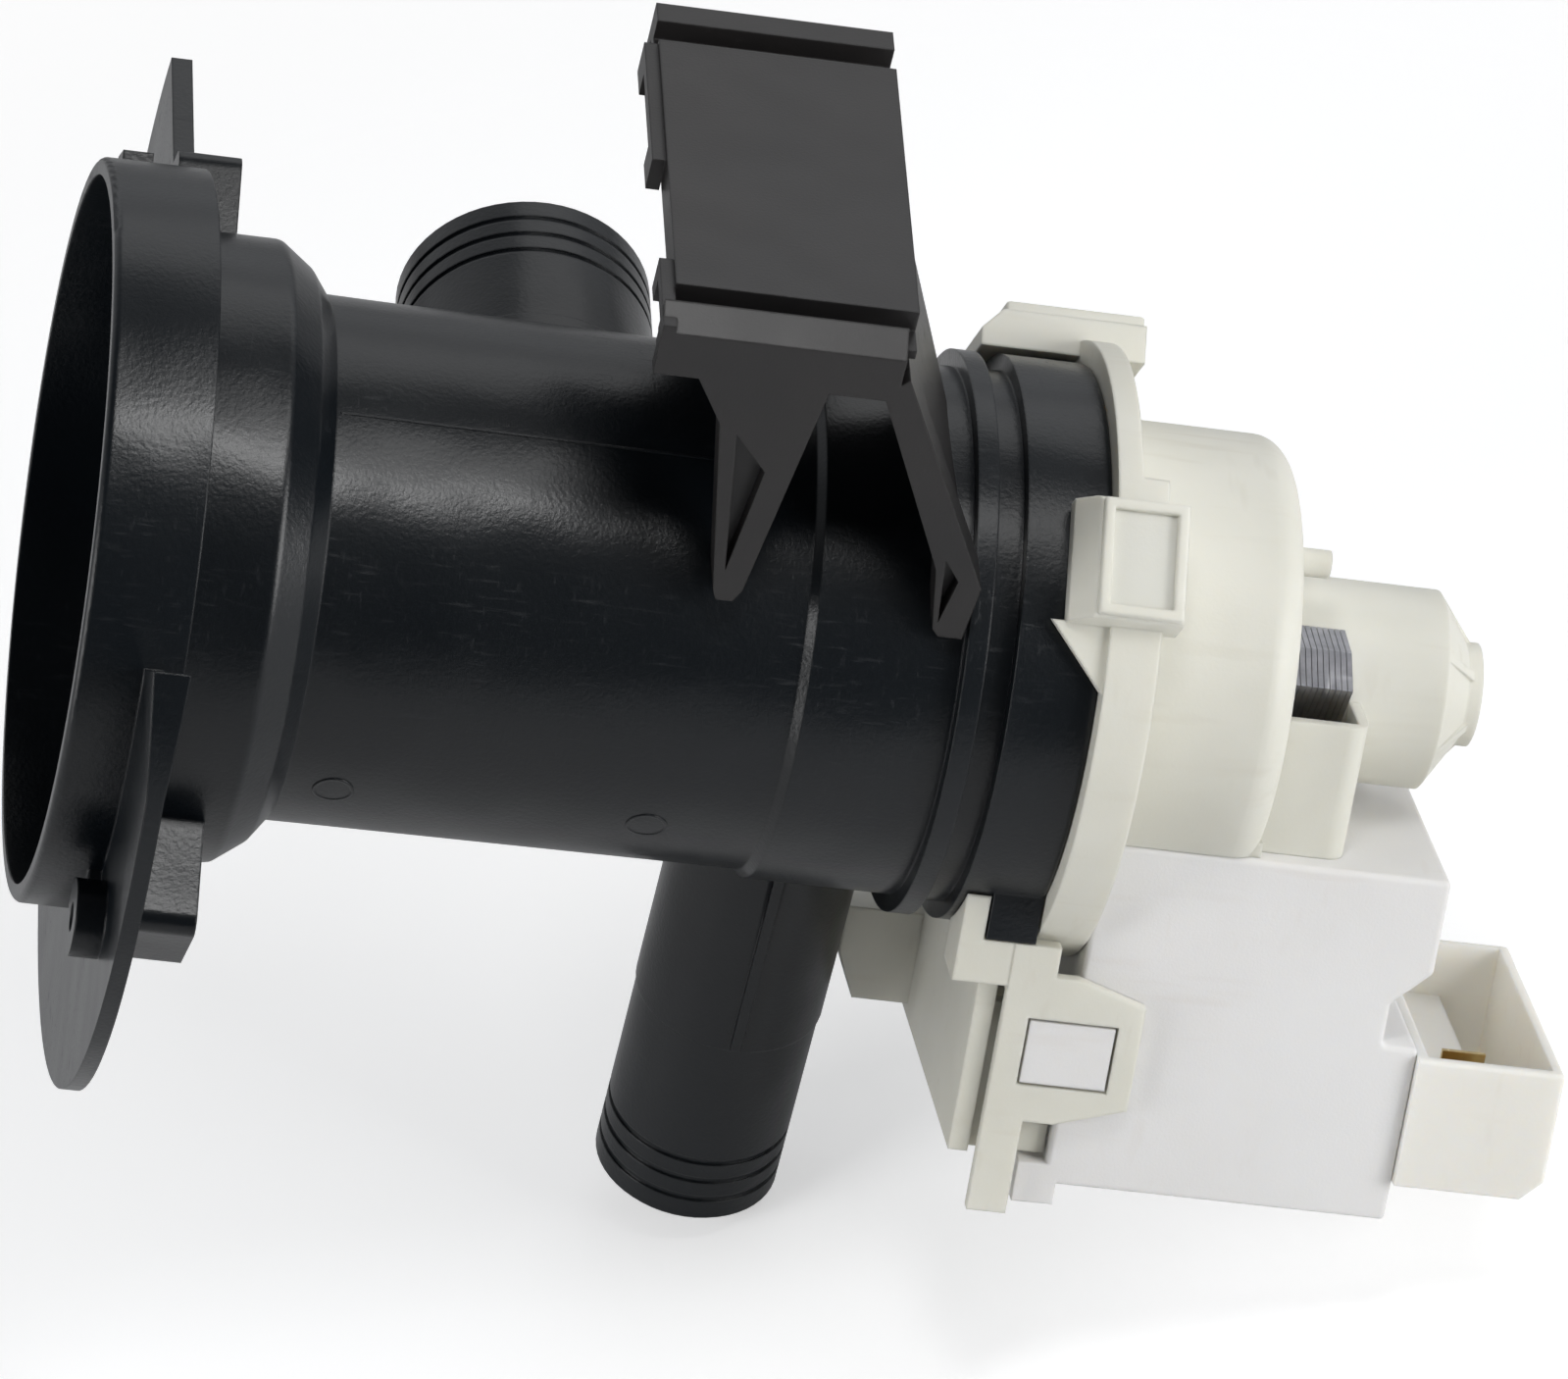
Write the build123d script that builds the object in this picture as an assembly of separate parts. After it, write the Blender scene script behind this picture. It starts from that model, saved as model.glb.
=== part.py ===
from build123d import *
import math
import os

# Washer drain pump: a black filter housing with a bayonet-locked pump head and motor.
# X runs along the main axis from the filter mouth to the motor, Z points away from the
# outlet nozzle, Y away from the side where the bracket legs stand. The origin is on the
# main axis in the plane of the mouth. All sizes are millimetres.

# Filter housing, lengths along the main axis from the mouth
mouth_radius = 52.0
mouth_wall = 2.5
mouth_seat_depth = 12.0
rim_length = 14.5
rim_round = 1.0
collar_rise = 3.3
collar_length = 11.5
shoulder_rise = 3.5
shoulder_length = 4.5
shoulder_round = 1.8
neck_length = 2.6
tube_radius = 36.8
tube_draft = 0.6
tube_length = 67.0
step_length = 1.2
volute_rise = 0.5
volute_length = 20.7
lip_rise = 2.5
lip_width = 3.0
groove_width = 4.0
groove_depth = 2.4
ring_rise = 0.1
ring_width = 12.0
ring_round = 0.8
housing_wall = 2.6
eye_radius = 18.0
eye_thickness = 3.0
eye_setback = 2.0
bore_overrun = 1.0

# Mouth flange with its two ears, in planes across the main axis
ear_radius = 77.0
flange_thickness = 2.4
lower_ear_station = 9.1
upper_ear_station = 12.0
lower_ear_first_angle = 140.0
lower_ear_last_angle = 290.0
upper_ear_thickness = 3.0
upper_ear_top = 30.0
upper_ear_first_angle = -27.0
upper_ear_last_angle = 52.0
lower_ear_cut_offset = 17.7
ear_wedge_front = 2.6
ear_wedge_back = 1.5
ear_wedge_length = 26.0
screw_circle_radius = 61.0
screw_angle = 199.0
screw_boss_radius = 5.4
screw_boss_length = 4.2
screw_hole_radius = 2.05
boss_block_width = 17.0
boss_block_reach = 58.6
boss_block_end = 22.6
boss_block_angle = 211.0
boss_block_wall = 1.8
boss_block_round = 2.5
upper_block_end = 20.9
upper_block_reach = 55.5
pad_start = 3.6
pad_length = 4.3
pad_height = 1.6
pad_width = 6.0
pad_angle = 42.0

# Hose nozzles
inlet_station = 67.8
inlet_radius = 18.3
inlet_wall = 2.4
inlet_reach = 64.0
outlet_station = 108.7
outlet_radius = 13.45
outlet_wall = 2.25
outlet_reach = 104.4
nozzle_edge = 0.8
nozzle_step = 0.3
nozzle_seat_gap = 0.8
barb_count = 3
barb_depth = 0.35
barb_width = 1.0
barb_pitch = 3.6
barb_offset = 4.0
outlet_rib_angle = -90.0
outlet_rib_width = 1.6
outlet_rib_height = 1.2
outlet_rib_length = 35.0

# Bracket on top of the housing
plate_height = 73.9
plate_thickness = 3.0
plate_left = 72.3
plate_length = 33.4
plate_back = 39.0
plate_front = 31.2
rail_width = 4.0
rail_groove_width = 4.3
rail_groove_depth = 3.2
rail_bevel = 2.0
rail_crown = 0.5
rail_shift = 1.8
apron_height = 9.2
web_thickness = 2.6
web_edge_round = 0.8
front_web_y = 28.4
back_web_y = 26.0
leg_depth = 7.0
leg_pocket_depth = 2.6
leg_rise_share = 0.67
leg_one_shares = (
    (0.12, 1.02),
    (0.26, 0.82),
    (0.40, 0.09),
    (0.42, 0.05),
    (0.49, 0.05),
    (0.52, 0.10),
    (0.67, 1.02),
)
leg_one_pocket_shares = ((0.34, 0.78), (0.49, 0.63), (0.43, 0.18))
leg_two_shares = (
    (0.89, 1.02),
    (1.28, 0.295),
    (1.33, 0.03),
    (1.36, 0.0),
    (1.46, 0.0),
    (1.485, 0.23),
    (0.98, 1.1),
)
leg_two_pocket_shares = ((1.31, 0.34), (1.385, 0.25), (1.345, 0.06))
back_web_shares = (0.17, 0.40)
side_wall_back_top_share = 0.55
side_wall_back_foot_share = 0.05
clip_depth = 1.9
near_clip_length = 14.4
far_clip_length = 26.0
clip_height = 5.2
clip_pocket_depth = 1.6
clip_pocket_shares = (0.2, 0.8)

# Pump head: spigot, flange, dome and rotor can
spigot_depth = 16.0
spigot_clearance = 0.3
spigot_wall = 2.9
seal_section = 2.1
seal_width = 2.6
seal_offset = 5.0
seal_clearance = 0.05
head_flange_rise = 3.3
head_flange_width = 7.2
flange_band_width = 3.6
thick_band_angles = (106.0, 203.0, 300.0)
dome_radius = 33.0
dome_end = 170.6
dome_wall = 2.2
dome_round = 4.5
dome_floor = 18.0
can_radius = 14.2
can_wall = 1.3
can_end = 195.3
boss_radius = 7.4
boss_cone_end = 200.0
boss_end = 202.0
cone_rib_count = 6
cone_rib_width = 1.4
core_pocket_depth = 12.6
core_pocket_half = 24.2
core_pocket_wall = 1.6
core_pocket_top = 2.0
core_pocket_round = 3.0
locating_pin_offset = 15.0
locating_pin_height = 22.2
locating_pin_radius = 2.0
locating_pin_length = 4.2

# Hook under the flange, in the motor's directions
hook_start = 130.0
hook_finger = 3.4
hook_inset = 6.4
hook_thickness = 6.5
hook_rise = 7.5
hook_width = 9.0

# Bayonet: hoods on the head grip lugs on the housing ring
hood_angles = (34.0, 124.0, 304.0)
hood_tab_count = 2
hood_gusset_width = 9.6
hood_gusset_angle = 18.0
hood_width = 17.4
hood_height = 3.4
hood_wall = 1.9
hood_bevel = 3.1
hood_round = 0.6
hood_reach = 6.2
long_hood_extra = 8.0
lug_width = 11.0
lug_height = 2.6
lug_clearance = 0.25
hood_tab_length = 9.4

# The motor hangs turned about the main axis
motor_turn = -19.4
casing_gap = 0.3
casing_length = 49.5
casing_half_width = 27.8
casing_height = 52.0
casing_wall = 1.9
casing_round = 0.8
notch_top_share = 0.27
notch_slope_share = 0.10
notch_height_share = 0.12
notch_depth = 5.2
casing_foot_length = 4.0
casing_foot_height = 3.0
casing_foot_width = 5.0
tongue_reach = 6.4
tongue_length = 12.2
tongue_height = 9.4
tongue_proud = 2.0
tongue_drop = 26.8
base_thickness = 1.8
part_clearance = 0.15

# Carrier on the head that holds the casing
carrier_thickness = 2.8
carrier_back = 34.0
carrier_depth = 74.2
carrier_strip_extra = 8.0
loop_thickness = 2.0
strip_width = 5.6
strip_setback = 3.0
carrier_recess = 1.0
carrier_step = 2.2
carrier_web_top = 44.0
carrier_web_half = 20.0
loop_reach = 20.0
loop_height = 22.0
loop_drop = 20.0
loop_bevel = 3.2
window_margin = 0.4
wing_length = 11.3
wing_slant = 3.0
wing_height = 14.0
wing_drop = 50.5
wing_offset = 20.0

# Stator core and coils
plate_pitch = 0.84
plate_gap = 0.1
plate_count = 11
core_gap = 0.3
core_bore_clearance = 0.4
leg_width = 8.5
core_bottom = 66.0
yoke_height = 8.5
pole_vertex_width = 22.0
pole_vertex_height = 6.5
pole_shoulder_width = 16.6
pole_shoulder_height = 10.2
pole_tip_height = 11.0
pole_gap_half = 9.0
rivet_radius = 1.5
rivet_head_radius = 2.6
rivet_head_height = 1.0
rivet_clearance = 0.05
bobbin_clearance = 0.15
bobbin_wall = 1.1
bobbin_flange = 1.3
bobbin_top = 21.0
bobbin_gap = 1.0
coil_margin = 0.65
coil_gap_half = 2.25
winding_round = 2.5
winding_clearance = 0.1
fuse_radius = 1.5
fuse_length = 11.0

# Terminal housing beside the casing
shroud_length = 21.3
shroud_front = 29.4
shroud_back = 18.0
shroud_bottom = 64.0
shroud_top = 44.4
shroud_wall = 1.6
shroud_round = 0.6
shroud_chamfer = 3.0
ledge_length_share = 0.5
ledge_width_share = 0.55
ledge_height_share = 0.5
blade_width = 6.3
blade_thickness = 0.8
blade_height = 11.0
blade_pitch = 9.0
blade_first = 20.0

# Rotor, carried in two bushes
shaft_radius = 1.5
shaft_start = 102.0
shaft_end_gap = 1.0
bush_radius = 4.2
bush_length = 5.4
bush_clearance = 0.04
bush_seat_clearance = 0.02
holder_length = 12.0
holder_flange_thickness = 1.6
holder_flange_radius = 17.0
plate_disc_thickness = 2.4
magnet_radius = 10.5
magnet_bore = 3.4
magnet_length = 18.0
sleeve_wall = 0.4
rotor_disc_thickness = 2.0
washer_radius = 3.8
washer_thickness = 0.8
washer_clearance = 0.1

# Impeller and its lost-motion dog
impeller_radius = 25.0
impeller_start = 102.5
impeller_length = 17.5
impeller_disc = 1.8
blade_count = 5
vane_thickness = 1.8
vane_sweep = 38.0
vane_curl = 1.2
vane_root_radius = 7.4
vane_steps = 6
hub_radius = 8.2
hub_front_length = 6.0
hub_tail = 3.6
chamber_radius = 6.7
dog_radius = 3.4
dog_length = 6.0
dog_lug_angle = 60.0
stop_lug_angle = 110.0
dog_play_start = 0.5
dog_clearance = 0.2
hub_cover_thickness = 1.6

# Stations worked out from the lengths above
collar_start = rim_length
collar_end = collar_start + collar_length
shoulder_end = collar_end + shoulder_length
tube_start = shoulder_end + neck_length
tube_end = tube_start + tube_length
volute_start = tube_end + step_length
lip_start = volute_start + volute_length
lip_end = lip_start + lip_width
groove_end = lip_end + groove_width
ring_end = groove_end + ring_width
shoulder_radius = tube_radius + shoulder_rise
collar_radius = shoulder_radius + collar_rise
volute_radius = tube_radius + volute_rise
lip_radius = volute_radius + lip_rise
ring_radius = lip_radius + ring_rise
head_flange_radius = ring_radius + head_flange_rise
hook_drop = ring_radius - hook_inset
volute_bore = volute_radius - housing_wall
eye_start = tube_end - eye_setback
eye_end = eye_start + eye_thickness
flange_end = ring_end + head_flange_width
casing_start = flange_end + casing_gap
casing_end = casing_start + casing_length
core_start = dome_end + core_gap
core_length = plate_count * plate_pitch - plate_gap
coil_outer = casing_half_width - casing_wall - coil_margin
leg_middle = (coil_outer + coil_gap_half) / 2
leg_outer = leg_middle + leg_width / 2
leg_inner = leg_middle - leg_width / 2
winding_build = coil_outer - leg_outer - bobbin_clearance - bobbin_wall


def turned(points, rounds=()):
    """A solid of revolution about the main axis from (station, radius) points."""
    profile = make_face(Polyline(*points, close=True))
    for place, radius in rounds:
        corner = profile.vertices().sort_by_distance(place)[0]
        profile = fillet(corner, radius)
    return revolve(profile, axis=Axis.X)


def rod(start, end, radius, inner=0):
    """A round bar or a tube on the main axis."""
    return turned(((start, inner), (end, inner), (end, radius), (start, radius)))


def bar(radius, length):
    """A round bar along X that starts at the origin."""
    return Rot(0, 90, 0) * Cylinder(radius, length, align=(Align.CENTER, Align.CENTER, Align.MIN))


def block(x_span, y_span, z_span):
    """A box given by its lowest and highest place on each axis."""
    size = (x_span[1] - x_span[0], y_span[1] - y_span[0], z_span[1] - z_span[0])
    corner = (x_span[0], y_span[0], z_span[0])
    return Pos(*corner) * Box(*size, align=(Align.MIN, Align.MIN, Align.MIN))


def slab_x(points, start, thickness):
    """An outline of (y, z) points, given a thickness along the main axis."""
    face = Plane.YZ.offset(start) * make_face(Polyline(*points, close=True))
    return extrude(face, amount=thickness)


def slab_y(points, start, thickness):
    """An outline of (x, z) points, given a thickness along Y from its start."""
    face = Plane.XZ.offset(-start) * make_face(Polyline(*points, close=True))
    return extrude(face, amount=-thickness)


def nozzle(radius, wall, seat, reach):
    """Outer wall and bore of a hose nozzle, with a step at the hose's seat and grip grooves."""
    points = [(0, 0), (0, radius + nozzle_step), (seat, radius + nozzle_step), (seat, radius)]
    for index in reversed(range(barb_count)):
        groove = reach - barb_offset - index * barb_pitch
        points.append((groove - barb_width, radius))
        points.append((groove - barb_width, radius - barb_depth))
        points.append((groove, radius - barb_depth))
        points.append((groove, radius))
    points += [(reach - nozzle_edge, radius), (reach, radius - nozzle_edge), (reach, 0)]
    return turned(points), rod(0, reach + bore_overrun, radius - wall)


def sector(start, end, inner, outer, first_angle, last_angle):
    """A sector of a ring about the main axis, angles in degrees from +Y towards +Z."""
    middle = math.radians((first_angle + last_angle) / 2)
    half = math.radians((last_angle - first_angle) / 2)
    reach = outer / math.cos(half) * math.sqrt(2)
    first = middle - half
    last = middle + half
    wedge = (
        (0, 0),
        (reach * math.cos(first), reach * math.sin(first)),
        (reach * math.cos(middle) * math.sqrt(2), reach * math.sin(middle) * math.sqrt(2)),
        (reach * math.cos(last), reach * math.sin(last)),
    )
    return rod(start, end, outer, inner) & slab_x(wedge, start, end - start)


def on_motor(shape):
    """Turn a piece from the motor's own directions to the housing's."""
    return Rot(motor_turn, 0, 0) * shape


def housing_envelope():
    """The turned outside of the housing."""
    far_radius = tube_radius - tube_draft
    floor_radius = ring_radius - groove_depth
    points = (
        (0, 0),
        (0, mouth_radius),
        (rim_length, mouth_radius),
        (rim_length, collar_radius),
        (collar_end, collar_radius),
        (shoulder_end, shoulder_radius),
        (tube_start, tube_radius),
        (tube_end, far_radius),
        (volute_start, volute_radius),
        (lip_start, volute_radius),
        (lip_start, lip_radius),
        (lip_end, lip_radius),
        (lip_end, floor_radius),
        (groove_end, floor_radius),
        (groove_end, ring_radius),
        (ring_end, ring_radius),
        (ring_end, 0),
    )
    rounds = (
        ((0, mouth_radius), rim_round),
        ((collar_end, collar_radius), shoulder_round),
        ((shoulder_end, shoulder_radius), shoulder_round),
        ((ring_end, ring_radius), ring_round),
    )
    return turned(points, rounds)


def housing_bore():
    """The turned inside of the housing, from the mouth to the pump head."""
    seat = mouth_radius - mouth_wall
    collar_bore = collar_radius - housing_wall
    near_bore = tube_radius - housing_wall
    far_bore = near_bore - tube_draft
    points = (
        (-bore_overrun, 0),
        (-bore_overrun, seat),
        (mouth_seat_depth, seat),
        (mouth_seat_depth, collar_bore),
        (collar_end - housing_wall / 2, collar_bore),
        (tube_start - housing_wall / 2, near_bore),
        (tube_end, far_bore),
        (tube_end, volute_bore),
        (ring_end + bore_overrun, volute_bore),
        (ring_end + bore_overrun, 0),
    )
    return turned(points)


def lower_ear():
    """The long ear: a sector of a disc that thickens towards its upper end."""
    station = lower_ear_station
    end = station + flange_thickness
    sine = math.sin(math.radians(lower_ear_first_angle))
    top = ear_radius * sine - lower_ear_cut_offset * (1 - sine)
    foot = top - ear_wedge_length
    outline = (
        (station, -ear_radius),
        (station, foot),
        (station - ear_wedge_front, top),
        (station - ear_wedge_front, ear_radius),
        (end + ear_wedge_back, ear_radius),
        (end + ear_wedge_back, top),
        (end, foot),
        (end, -ear_radius),
    )
    plate = slab_y(outline, -ear_radius, ear_radius * 2)
    plate &= sector(0, boss_block_end, 0, ear_radius, lower_ear_first_angle, lower_ear_last_angle)
    return plate - Rot(lower_ear_first_angle, 0, 0) * block(
        (-bore_overrun, boss_block_end),
        (-ear_radius, ear_radius * 2),
        (-ear_radius, lower_ear_cut_offset),
    )


def upper_ear():
    """The short ear with its straight upper edge."""
    plate = sector(
        upper_ear_station,
        upper_ear_station + upper_ear_thickness,
        0,
        ear_radius,
        upper_ear_first_angle,
        upper_ear_last_angle,
    )
    return plate - block(
        (0, boss_block_end),
        (-ear_radius, ear_radius),
        (upper_ear_top, ear_radius),
    )


def ear_block(start, end, reach, angle):
    """A hollow block behind an ear, rooted in the collar."""
    half = boss_block_width / 2
    body = block((start, end), (0, reach), (-half, half))
    rim = body.edges().filter_by(Axis.X).group_by(Axis.Y)[-1]
    body = fillet(rim, boss_block_round)
    hollow = block(
        (rim_length, end - boss_block_wall),
        (collar_radius, reach - boss_block_wall),
        (-half + boss_block_wall, half - boss_block_wall),
    )
    return Rot(angle, 0, 0) * (body - hollow)


def screw_boss():
    """The boss on the lower ear that takes the fixing screw."""
    start = lower_ear_station - screw_boss_length
    return along_boss(start, screw_boss_length + flange_thickness, screw_boss_radius)


def screw_hole():
    """The hole through the screw boss and the block behind it."""
    return along_boss(-bore_overrun, boss_block_end + bore_overrun * 2, screw_hole_radius)


def along_boss(start, length, radius):
    """A cylinder on the axis of the fixing screw."""
    angle = math.radians(screw_angle)
    y = screw_circle_radius * math.cos(angle)
    z = screw_circle_radius * math.sin(angle)
    return Pos(start, y, z) * bar(radius, length)


def ears():
    """Both ears with their blocks and the small pad on the rim."""
    pad = Rot(pad_angle, 0, 0) * block(
        (pad_start, pad_start + pad_length),
        (mouth_radius - mouth_wall, mouth_radius + pad_height),
        (-pad_width / 2, pad_width / 2),
    )
    pieces = lower_ear() + upper_ear() + screw_boss() + pad
    pieces += ear_block(rim_length / 2, boss_block_end, boss_block_reach, boss_block_angle)
    pieces += ear_block(upper_ear_station, upper_block_end, upper_block_reach, boss_block_angle - 180)
    return pieces


def bayonet_lugs():
    """Lugs on the housing ring, one under each hood of the pump head."""
    lugs = []
    start = ring_end - hood_reach + hood_wall + lug_clearance
    for angle in hood_angles:
        lug = block(
            (start, ring_end),
            (volute_radius, ring_radius + lug_height),
            (-lug_width / 2, lug_width / 2),
        )
        lugs.append(Rot(angle, 0, 0) * lug)
    return lugs + [on_motor(hook_lug(0))]


def hook_lug(grown_by):
    """The lug on the housing that the hook grips, or with a clearance the space it needs."""
    side = casing_half_width + loop_thickness + lug_clearance
    return block(
        (hook_start + hook_finger + lug_clearance - grown_by, ring_end - lug_clearance + grown_by),
        (-side - grown_by, -casing_half_width + hook_width / 2 + grown_by),
        (-hook_drop + lug_clearance - grown_by, -spigot_depth),
    )


def make_filter_housing():
    """The black moulding: mouth, collar, tube, volute, ring, nozzles and ears."""
    inlet_seat = tube_radius + nozzle_seat_gap
    outlet_seat = volute_bore + outlet_rib_length + nozzle_seat_gap
    inlet_wall_solid, inlet_bore = nozzle(inlet_radius, inlet_wall, inlet_seat, inlet_reach)
    outlet_wall_solid, outlet_bore = nozzle(outlet_radius, outlet_wall, outlet_seat, outlet_reach)
    to_inlet = Pos(inlet_station, 0, 0) * Rot(0, 0, 90)
    to_outlet = Pos(outlet_station, 0, 0) * Rot(0, 90, 0)
    rib_reach = outlet_radius + outlet_rib_height
    rib = Pos(outlet_station, 0, 0) * Rot(0, 0, outlet_rib_angle) * block(
        (0, rib_reach),
        (-outlet_rib_width / 2, outlet_rib_width / 2),
        (-volute_bore - outlet_rib_length, -volute_bore),
    )
    outside = housing_envelope() + ears() + bayonet_lugs()
    outside += [to_inlet * inlet_wall_solid, to_outlet * outlet_wall_solid, rib]
    inside = housing_bore() + [to_inlet * inlet_bore, to_outlet * outlet_bore]
    return outside - inside - screw_hole()


def bracket_outline(shares):
    """Points of a web in the XZ plane, from shares of the plate's length and the web's rise."""
    foot = volute_radius * leg_rise_share
    rise = plate_height - apron_height - foot
    return [(plate_left + plate_length * a, foot + rise * b) for a, b in shares]


def back_web_outline():
    """The web behind the legs, from the plate down into the housing, narrower at its foot."""
    right = plate_left + plate_length
    top = plate_height - plate_thickness
    foot = volute_radius * leg_rise_share
    at_top, at_foot = back_web_shares
    return (
        (plate_left + plate_length * at_top, top),
        (plate_left + plate_length * at_foot, foot),
        (right, foot),
        (right, top),
    )


def bracket_plate():
    """The plate between its two rails, with a groove beside each rail."""
    right = plate_left + plate_length
    under = plate_height - plate_thickness
    apron_foot = plate_height - apron_height
    groove_floor = plate_height - rail_groove_depth
    near_groove = plate_front - rail_width - rail_groove_width
    section = (
        (-plate_front, apron_foot),
        (-plate_front, plate_height - rail_bevel),
        (-plate_front + rail_width, plate_height + rail_crown),
        (-plate_front + rail_width, groove_floor),
        (-near_groove, groove_floor),
        (-near_groove, plate_height),
        (plate_back - rail_width - rail_groove_width, plate_height),
        (plate_back - rail_width - rail_groove_width, groove_floor),
        (plate_back - rail_width, groove_floor),
        (plate_back - rail_width, plate_height),
        (plate_back, plate_height),
        (plate_back, apron_foot),
        (plate_back - web_thickness, apron_foot),
        (plate_back - web_thickness, under - rail_groove_depth / 2),
        (-plate_front + web_thickness, under - rail_groove_depth / 2),
        (-plate_front + web_thickness, apron_foot),
    )
    plate = slab_x(section, plate_left - rail_shift, plate_length + rail_shift)
    plate -= block(
        (plate_left - rail_shift, plate_left),
        (-plate_front + rail_width, plate_back + bore_overrun),
        (apron_foot - bore_overrun, plate_height + rail_bevel),
    )
    plate -= block(
        (right - rail_shift, right + bore_overrun),
        (-plate_front - bore_overrun, -plate_front + rail_width),
        (apron_foot - bore_overrun, plate_height + rail_bevel),
    )
    return plate


def side_clip(start, length):
    """A block with a pocket that stands out of the plate's left side."""
    clip = block(
        (plate_left - clip_depth, plate_left),
        (start, start + length),
        (plate_height - web_edge_round - clip_height, plate_height - web_edge_round),
    )
    lower, upper = clip_pocket_shares
    return clip - block(
        (plate_left - clip_depth - bore_overrun, plate_left - clip_depth + clip_pocket_depth / 2),
        (start + length * lower, start + length * upper),
        (plate_height - clip_height - bore_overrun, plate_height - web_edge_round - clip_pocket_depth),
    )


def make_support_bracket():
    """The sliding plate with rails, its legs, back web, slanted wall and side clips."""
    body = bracket_plate() + slanted_wall()
    body += side_clip(-plate_front, near_clip_length)
    body += side_clip(plate_back - rail_width - rail_groove_width - far_clip_length, far_clip_length)
    legs = ((leg_one_shares, leg_one_pocket_shares), (leg_two_shares, leg_two_pocket_shares))
    for shares, pocket_shares in legs:
        body += slab_y(bracket_outline(shares), -plate_front, leg_depth)
        body -= slab_y(
            bracket_outline(pocket_shares),
            -plate_front - web_thickness,
            web_thickness + leg_pocket_depth,
        )
    body += slab_y(back_web_outline(), back_web_y, web_thickness)
    return body - housing_envelope()


def slanted_wall():
    """The wall that runs from the plate's end down to the lip, narrowing towards its foot."""
    outline = bracket_outline(leg_two_shares)
    top = Vector(outline[-1][0], 0, outline[-1][1])
    foot = Vector(outline[-2][0], 0, outline[-2][1] - volute_radius * leg_two_shares[-2][1] / 2)
    slope = foot - top
    reach = (0, 0, slope.length, slope.length)
    width_top = plate_back * side_wall_back_top_share + front_web_y
    width_foot = plate_back * side_wall_back_foot_share + front_web_y
    plane = Plane(origin=(top.X, -front_web_y, top.Z), x_dir=slope, z_dir=slope.cross(Vector(0, 1, 0)))
    points = list(zip(reach, (width_top, 0, 0, width_foot)))
    return extrude(plane * make_face(Polyline(*points, close=True)), amount=-web_thickness)


def hood(extra, tab):
    """A bayonet hood in the +Y direction, with its pocket for a lug."""
    inner = ring_radius + lug_clearance
    outer = ring_radius + lug_height + hood_height
    start = ring_end - hood_reach
    shell = block(
        (start - extra, ring_end + tab),
        (inner, outer),
        (-hood_width / 2, hood_width / 2),
    )
    front = shell.edges().filter_by(Axis.Z).group_by(Axis.X)[0].group_by(Axis.Y)[-1]
    nose = chamfer(front, hood_bevel)
    nose = fillet(nose.edges().filter_by(Axis.X).group_by(Axis.Y)[-1], hood_round)
    pocket = block(
        (start + hood_wall, ring_end),
        (inner - hood_wall, ring_radius + lug_height + lug_clearance),
        (-lug_width / 2 - lug_clearance, lug_width / 2 + lug_clearance),
    )
    return nose - pocket


def make_pump_head():
    """The white head: spigot, flange, hoods, dome, rotor can, core pockets and carrier."""
    spigot_start = ring_end - spigot_depth
    spigot_radius = volute_bore - spigot_clearance
    spigot_bore = spigot_radius - spigot_wall
    seal_floor = volute_bore - seal_section - seal_clearance
    seal_start = spigot_start + seal_offset
    seal_end = seal_start + seal_width
    well = can_radius - can_wall
    pocket_radius = bush_radius + bush_seat_clearance
    pocket_start = can_end - can_wall
    head = turned(
        (
            (spigot_start, spigot_bore),
            (spigot_start, spigot_radius),
            (seal_start, spigot_radius),
            (seal_start, seal_floor),
            (seal_end, seal_floor),
            (seal_end, spigot_radius),
            (ring_end, spigot_radius),
            (ring_end, head_flange_radius),
            (ring_end + flange_band_width, head_flange_radius),
            (ring_end + flange_band_width, dome_radius),
            (dome_end, dome_radius),
            (dome_end, can_radius),
            (can_end, can_radius),
            (boss_cone_end, boss_radius),
            (boss_end, boss_radius),
            (boss_end, 0),
            (pocket_start + bush_length + can_wall, 0),
            (pocket_start + bush_length + can_wall, pocket_radius),
            (pocket_start, pocket_radius),
            (pocket_start, well),
            (spigot_start + plate_disc_thickness + holder_flange_thickness, well),
            (spigot_start + plate_disc_thickness + holder_flange_thickness, can_radius),
            (dome_end - dome_wall, can_radius),
            (dome_end - dome_wall, dome_radius - dome_wall),
            (flange_end, dome_radius - dome_wall),
            (ring_end, spigot_bore),
        ),
        (((dome_end, dome_radius), dome_round),),
    )
    head -= on_motor(
        block(
            (flange_end, boss_end),
            (-mouth_radius, mouth_radius),
            (-mouth_radius, -dome_floor),
        )
    )
    floor_half = math.sqrt(dome_radius**2 - dome_floor**2) - dome_wall / 2
    head += on_motor(
        block(
            (flange_end - dome_wall, dome_end),
            (-floor_half, floor_half),
            (-dome_floor, -dome_floor + dome_wall),
        )
    )
    for first, last in zip(thick_band_angles, thick_band_angles[1:]):
        band = (ring_end + flange_band_width / 2, flange_end)
        head += sector(*band, dome_radius - dome_wall / 2, head_flange_radius, first, last)
    head += [on_motor(core_pockets()), on_motor(carrier()), on_motor(hook()), hood_gusset()]
    for index, angle in enumerate(hood_angles):
        tab = hood_tab_length if index < hood_tab_count else hood_wall
        head += Rot(angle, 0, 0) * hood(long_hood_extra * ((index + 1) % 2), tab)
    for index in range(cone_rib_count):
        head += Rot(360 / cone_rib_count * index, 0, 0) * cone_rib()
    return head


def hood_gusset():
    """The triangular fillet plate beside the near hood."""
    half = hood_gusset_width / 2
    outline = ((ring_end - hood_reach - hood_wall, -half), (ring_end, -half), (ring_end, half))
    plate = slab_y(outline, ring_radius + lug_clearance, hood_wall)
    return Rot(hood_angles[1] + hood_gusset_angle, 0, 0) * plate


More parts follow.
